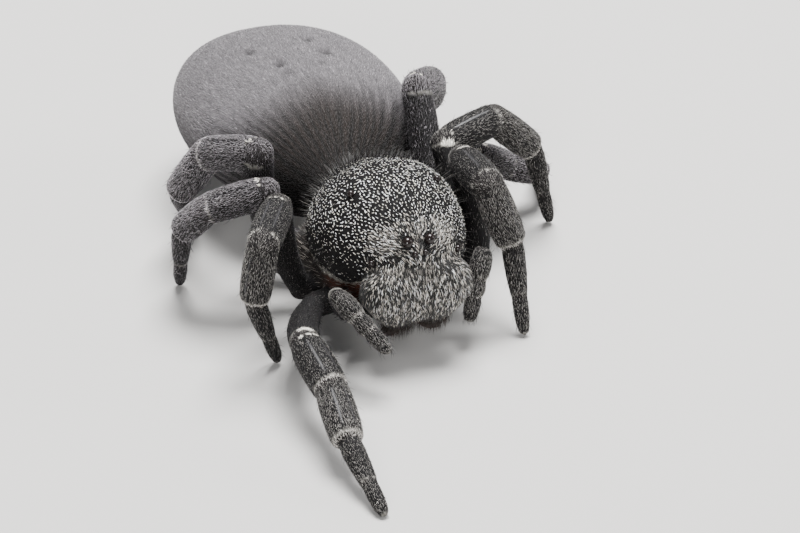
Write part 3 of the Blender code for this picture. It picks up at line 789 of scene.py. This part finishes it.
clear_of_eyes = np.ones(skin_total)
dome_front = is_dome * (skin_y < -4)
for _, across, above, radius in EYES:
    for side in (1.0, -1.0):
        eye_off = np.hypot(skin_x - side * across, skin_z - DOME_CENTRE[2] - above)
        clear_of_eyes *= 1 - dome_front * smoothstep(radius * 1.45, radius * 1.1, eye_off)
flakes = thin_out(scatter(FLAKE_DENSITY * is_dome * (1 - 0.72 * face_share)
                          * (1 - 0.88 * outskirts(skin_points)) * clear_of_eyes), FLAKE_SPACING)
near_face = smoothstep(2.2, 1.0, np.linalg.norm(flakes["root"] - EYE_LINE, axis=1))
far_out = outskirts(flakes["root"])
flake_size = 1 - 0.35 * np.maximum(near_face, far_out)
# Painted shade: flakes low on the dome's sides and at its back are darkened.
flake_tone = CREAM * 1.5 * (1 - 0.45 * far_out)[:, None]
flakes["lie"] = sway(flakes, 0.45)
lay_coat("dome_flakes", flakes, (0.07, 0.16), (0.027, 0.046), (8, 32), 0.10,
         hair_finish("cream_flake", 0.5, 0.0, 0.4), flake_tone, 0.4, brightest=0.94,
         longer=flake_size ** 0.6, wider=flake_size, flat=0.5, rings=(0.0, 0.35, 0.75),
         fat=(0.45, 1.0, 0.75), sides=4)

# Dome velvet: fine black hair between the flakes, laid the same way, and longer loose grey hairs
# that stand up here and there, most of all along the back edge.
lay_coat("dome_velvet", scatter(230.0 * is_dome * (1 - face_share)), (0.08, 0.16), 0.018, (15, 40), 0.15,
         hair_finish("black_hair", 0.7, 0.0, 0.12), BLACK * 0.9, 0.4)
back_edge = is_dome * smoothstep(-3.6, -2.6, skin_y) * smoothstep(3.4, 4.2, skin_z)
loose = scatter(7.0 * is_dome * (1 - face_share) + 8.0 * back_edge)
loose["lie"] = unit_rows(loose["lie"] * 0.4 + loose["normal"] * 0.1)
lay_coat("dome_loose_hair", loose, (0.25, 0.55), 0.016, (45, 80), (0.0, 0.3),
         hair_finish("grey_loose_hair", 0.5, 0.2, 0.4), BEIGE_GREY * 0.25, 0.5)

# Face and jaws: a dense fine coat of thick pale hairs among thin dark ones, which swirls round the
# eyes and runs down over the jaws. It is palest on the cheeks, partly as a painted highlight. It is
# darker in the seam under the brow and low on the jaws as painted shade, darker and barer on the
# jaws' outer sides, partly as painted shade, and a dark fringe hangs along their lower edge.
CHEEK = (1.15, -6.0, 4.2)
SEAM_HEIGHT, SEAM_WIDTH = 3.32, 0.10
jaw_front = is_jaw * smoothstep(1.0, 1.5, skin_z) * (skin_y < -5.9)
fine = scatter((1000.0 * jaw_front + 800.0 * face_share + 160.0 * is_jaw) * clear_of_eyes)
fine["lie"] = sway(fine, 0.25)
fine_up = fine["root"][:, 2]
# The outer sides of the jaws are barer and darker, partly as painted shade; their low end is darker as
# painted shade.
outer_side = smoothstep(1.40, 1.85, np.abs(fine["root"][:, 0])) * smoothstep(3.5, 3.1, fine_up)
bare_side_and_low_shade = np.maximum(outer_side, smoothstep(2.05, 1.35, fine_up))[:, None]
# The cheeks are lightened, partly as a painted highlight.
cheek_off = np.linalg.norm(np.abs(fine["root"]) * (1, -1, 1) - CHEEK, axis=1)
cheek = smoothstep(0.7, 0.2, cheek_off)[:, None]
pale_hair = dice.random(len(fine_up))[:, None] < (0.18 + 0.10 * cheek) * (1 - 0.75 * bare_side_and_low_shade)
# Painted shade in the seam under the brow.
seam = np.exp(-((fine_up - SEAM_HEIGHT) / SEAM_WIDTH) ** 2)[:, None]
brow_hair = smoothstep(3.6, 3.9, fine_up)[:, None]
pale = BEIGE_GREY * (5.4 - 1.6 * brow_hair + 2.0 * cheek) * (1 - 0.6 * seam) * (1 - 0.55 * bare_side_and_low_shade)
face_tone = np.where(pale_hair, pale, BEIGE_GREY * (0.03 + 0.6 * cheek))
lay_coat("face_hair", fine, (0.10, 0.20), (0.012, 0.020), (10, 28), 0.12,
         hair_finish("beige_grey_hair", 0.45, 0.1, 0.5), face_tone, 0.5, brightest=0.88,
         wider=np.where(pale_hair[:, 0], 1.75, 1.0))
jaw_edge = is_jaw * smoothstep(1.55, 1.35, skin_z)
fringe = scatter(620.0 * jaw_edge * smoothstep(-5.9, -6.1, skin_y))
fringe["lie"] = unit_rows(unit((0.0, 0.25, -1.0)) + fringe["normal"] * 0.25)
lay_coat("jaw_fringe", fringe, (0.24, 0.46), 0.018, (0, 20), 0.05,
         hair_finish("dark_fringe", 0.6, 0.0, 0.25), DARK_BROWN, 0.6)

# Abdomen velvet: very short close hair over the whole bag, lilac grey on the back, partly painted sheen,
# and dark below, partly painted shade. It is made in two pieces, one above the other, and takes in the
# spinnerets.
VELVET_PARTING = 3.4
velvet = hair_finish("lilac_velvet", 0.55, 0.15, 0.3)
is_tail = kinds == "tail"
tail_forms = np.array([form["kind"] == "tail" for form in forms])
for nap_name, share in (("abdomen_back_velvet", skin_z > VELVET_PARTING),
                        ("abdomen_belly_velvet", skin_z <= VELVET_PARTING)):
    nap = scatter(480.0 * is_bag * share + 150.0 * is_tail * share)
    # The tone carries the abdomen's painted sheen on top and painted shade low in front, in creases and in
    # pits.
    nap_tone = np.where(tail_forms[nap["form"]][:, None], nap["tone"], bag_tone(nap["root"]))
    lay_coat(nap_name, nap, (0.08, 0.15), 0.016, (12, 26), 0.12, velvet, nap_tone * 1.25,
             0.5, rings=(0.0,), fat=(1.0,))

# Leg coat: short hair in close lines of grey and black, bare in two stripes along knees and shins,
# pale at the end of both, and with a few bristles. Each length is greyer on its upper side as painted
# light from above. The two rear pairs are greyer all round, and greyer still on top as painted light.
# Thick cream hair lies where each thigh meets its knee, and on the left hind leg on the knee alone.
LEG_SETS = (("front", ("leg_{}_1", "leg_{}_2", "palp_{}")), ("rear", ("leg_{}_3", "leg_{}_4")))
palp_forms, shin_forms = forms_named("palp"), forms_named("leg", "_shin")
hind_forms = forms_named(("leg_left_4", "leg_right_4"), ("_knee", "_shin"))
end_forms = forms_named("", ("_knee", "_shin"))
dark_forms = forms_named("", ("_thigh", "_hip", "_hip_joint"))
leg_hair = hair_finish("grey_black_hair", 0.40, 0.0, 0.25)
hairy_limbs = (is_leg | is_palp | is_joint) * (1 - bare) * (1 - 0.97 * knee_patch)
for side_name in ("left", "right"):
    for half, starts in LEG_SETS:
        mine = forms_named(tuple(start.format(side_name) for start in starts))[skin_form]
        rear = half == "rear"
        hairs = scatter(560.0 * mine * hairy_limbs)
        turn, on_form = hairs["angle"], hairs["form"]
        lines = np.sin(turn * 24 + 2.5 * np.sin(turn * 7 + on_form) + np.sin(hairs["along"] * 9))
        at_end = smoothstep(0.93, 0.96, hairs["along"]) * end_forms[on_form]
        on_shin = shin_forms[on_form]
        # The cos(turn) terms make each length greyer on its upper side: painted light from above.
        grey_share = 0.48 + 0.16 * np.cos(turn) + 0.22 * lines + 0.4 * at_end
        grey_share += 0.22 * palp_forms[on_form] + rear * (0.20 + 0.32 * np.cos(turn))
        grey_share += 0.20 * on_shin - 0.16 * (not rear) * knee_forms[on_form]
        grey_share += 0.20 * hind_forms[on_form]
        grey_share *= 1 - 0.85 * dark_forms[on_form]
        pale = LILAC_GREY * 2.6 if rear else BEIGE_GREY * (1.7, 1.75, 1.85)
        dark = LILAC_GREY * 0.45 if rear else BLACK * 0.8
        pale = pale * (1 + 0.25 * on_shin + 1.6 * at_end)[:, None]
        greys = np.where(dice.random(len(turn))[:, None] < grey_share[:, None], pale, dark)
        lay_coat(f"legs_{side_name}_{half}_coat", hairs, (0.055, 0.105), 0.012, (7, 18), 0.08, leg_hair,
                 greys, 0.4, rings=(0.0,), fat=(1.0,))
palp_feet = forms_named("palp", "_foot")[skin_form]
lay_coat("leg_bristles", scatter(9.0 * (is_leg | is_palp) * (1 - bare) + 26.0 * palp_feet), (0.18, 0.34),
         0.020, (20, 50), 0.2, leg_hair, BLACK * 3.0, 0.6)
lay_coat("knee_patches", scatter(330.0 * knee_patch), (0.09, 0.15), (0.026, 0.038), (8, 18), 0.1,
         hair_finish("cream_patch", 0.5, 0.0, 0.4), CREAM * 1.2, 0.15)

# Bare stripes: narrow strips of polished black plate that lie open along the knees and shins of
# the first two pairs of legs. Each is a thin slab that follows the curve of its length, and is
# given by the turn of its middle and its half width, both in radians about that length.
STRIPES = ((0.28, 0.055), (-0.48, 0.045))
STRIPE_STEPS, STRIPE_LANES = 20, 5
STRIPE_START, STRIPE_END, STRIPE_REACH = 0.15, 0.85, 0.36
STRIPE_SINK, STRIPE_DEPTH = 0.004, 0.06


def horn_finish(name, dark, light, cloud_scale, roughness, shine=0.5):
    """A horny material that clouds from dark to light. Its roughness may cloud between two bounds."""
    made, nodes, links, shader = new_finish(name, {"Specular IOR Level": shine})
    cloud = object_noise(nodes, links, cloud_scale)
    ramp = nodes.new("ShaderNodeValToRGB")
    ramp.color_ramp.elements[0].color = (*dark, 1.0)
    ramp.color_ramp.elements[1].color = (*light, 1.0)
    links.new(cloud.outputs["Fac"], ramp.inputs["Fac"])
    links.new(ramp.outputs["Color"], shader.inputs["Base Color"])
    if isinstance(roughness, tuple):
        dulled = add_node(nodes, "ShaderNodeMapRange", {"To Min": roughness[0], "To Max": roughness[1]})
        links.new(cloud.outputs["Fac"], dulled.inputs["Value"])
        links.new(dulled.outputs["Result"], shader.inputs["Roughness"])
    else:
        shader.inputs["Roughness"].default_value = roughness
    return made


def face_outwards(piece):
    """Turns the faces of a closed piece to point out of it."""
    pick(piece)
    bpy.ops.object.mode_set(mode="EDIT")
    bpy.ops.mesh.select_all(action="SELECT")
    bpy.ops.mesh.normals_make_consistent(inside=False)
    bpy.ops.object.mode_set(mode="OBJECT")


plate_points, plate_faces = [], []
ring_size = STRIPE_LANES + 2
for form in forms:
    if form["kind"] != "leg":
        continue
    number, part = form["name"].split("_")[2:]
    if number not in "12" or part not in ("knee", "shin"):
        continue
    stations, radii = LEG_SHAPES[part]
    for middle, half_width in STRIPES:
        first = len(plate_points)
        for share in np.linspace(STRIPE_START, STRIPE_END, STRIPE_STEPS):
            taper = math.sqrt(max(1 - ((share - 0.5) / STRIPE_REACH) ** 4, 0.0))
            turns = middle + half_width * taper * np.linspace(-1, 1, STRIPE_LANES)
            radius = np.interp(share, stations, radii) * LEG_STOUT[int(number) - 1]
            centre = form["start"] + form["axis"] * form["length"] * share
            ring = [(turn, radius - STRIPE_SINK) for turn in turns]
            ring += [(turns[end], radius - STRIPE_DEPTH) for end in (-1, 0)]
            for turn, reach in ring:
                way = form["back"] * math.cos(turn) + form["side"] * math.sin(turn)
                plate_points.append(centre + way * reach)
        for step in range(STRIPE_STEPS - 1):
            here = first + step * ring_size
            for corner in range(ring_size):
                a, b = here + corner, here + (corner + 1) % ring_size
                plate_faces.append((a, b, b + ring_size, a + ring_size))
        last = first + (STRIPE_STEPS - 1) * ring_size
        plate_faces.append(tuple(first + corner for corner in reversed(range(ring_size))))
        plate_faces.append(tuple(last + corner for corner in range(ring_size)))
plate_mesh = bpy.data.meshes.new("bare_stripes")
plate_mesh.from_pydata([tuple(point) for point in plate_points], [], plate_faces)
plates = bpy.data.objects.new("bare_stripes", plate_mesh)
bpy.context.scene.collection.objects.link(plates)
plate_mesh.materials.append(horn_finish("polished_plate", (0.006, 0.006, 0.007), (0.030, 0.028, 0.030),
                                        9000.0, (0.35, 0.60), 0.4))
face_outwards(plates)
bpy.ops.object.shade_smooth_by_angle(angle=math.radians(50))
settle(plates)
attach(plates, "root")

# Chest hair: loose brown-grey hair over the keel, the soft flank and the stalk, which are hardly
# seen from above. One hair in five is grey, and the others are brown.
under = scatter(150.0 * ((kinds == "chest") | (kinds == "flank")))
grey_hair = dice.random(len(under["root"]))[:, None] < 0.2
lay_coat("chest_hair", under, (0.14, 0.34), 0.018, (20, 50), 0.15,
         hair_finish("brown_chest_hair", 0.55, 0.0, 0.3),
         np.where(grey_hair, BEIGE_GREY * 1.5, DARK_BROWN * 0.6), 0.5)

# Eyes: eight glossy black lenses of three sizes, four to a side. Each is a round bead, set a little
# into the dome and square to its curve.
EYE_RISE = 0.35
eye_finish = horn_finish("eye_gloss", (0.004, 0.003, 0.003), (0.014, 0.009, 0.008), 3000.0, 0.07, 0.35)
for eye_name, across, above, radius in EYES:
    for side_name, side in SIDES:
        wide, long, high = DOME_REACH[[0, 1, 3]]
        shares = (across / wide, above / high)
        depth = (1 - shares[0] ** DOME_SQUARE - shares[1] ** DOME_SQUARE) ** (1 / DOME_SQUARE)
        slope = DOME_SQUARE - 1
        seat = DOME_CENTRE + (side * across, -depth * long, above)
        out = unit((side * shares[0] ** slope / wide, -depth ** slope / long, shares[1] ** slope / high))
        bpy.ops.mesh.primitive_uv_sphere_add(segments=32, ring_count=20, radius=radius,
                                             location=seat + out * (EYE_RISE * radius - COAT_DEPTH))
        bead = bpy.context.object
        bead.name = f"{eye_name}_{side_name}_bead"
        bpy.ops.object.transform_apply(location=True, rotation=True, scale=True)
        bpy.ops.object.shade_smooth()
        bead.data.materials.append(eye_finish)
        settle(bead)
        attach(bead, "root")
        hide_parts(f"{eye_name}_{side_name}")

# Fangs: one curved hook of hard glossy horn under each jaw, dark red-brown, and darker still as
# painted shade under the jaws. Each is a ball drawn out along a bent path, thick at its root and fine
# at its tip.
FANG_PATH = ((0.90, -5.95, 0.95), (0.80, -5.93, 0.82), (0.62, -5.88, 0.77), (0.46, -5.79, 0.79),
             (0.30, -5.70, 0.86))
FANG_RINGS = 26
# The fang's horn is darkened beyond its own red-brown as painted shade under the jaws.
fang_finish = horn_finish("fang_horn", (0.010, 0.003, 0.002), (0.034, 0.009, 0.005), 1500.0, 0.22)


def on_path(share, path):
    """The places at some shares of the way along a path."""
    spots = np.linspace(0, 1, len(path))
    return np.stack([np.interp(share, spots, path[:, axis]) for axis in range(3)], 1)


for side_name, side in SIDES:
    ball = new_ball(f"fang_{side_name}_hook", 20, FANG_RINGS)
    unit_points = ball_points(ball)
    off_pole, share = ball_rings(unit_points, FANG_RINGS)
    path = np.array(FANG_PATH) * (side, 1, 1)
    ahead = unit_rows(on_path(share + 0.05, path) - on_path(share - 0.05, path))
    across = unit_rows(np.cross(ahead, (0.0, 1.0, 0.0)))
    outward = np.cross(ahead, across)
    angle = np.arctan2(unit_points[:, 1], unit_points[:, 0])[:, None]
    thick = (np.interp(share, (0, 0.3, 0.8, 1), (0.14, 0.12, 0.06, 0.02)) * off_pole)[:, None]
    points = on_path(share, path) + (across * np.cos(angle) + outward * np.sin(angle)) * thick
    ball.data.vertices.foreach_set("co", points.ravel())
    face_outwards(ball)
    bpy.ops.object.shade_smooth()
    ball.data.materials.append(fang_finish)
    settle(ball)
    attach(ball, "root")
    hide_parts(f"fang_{side_name}")
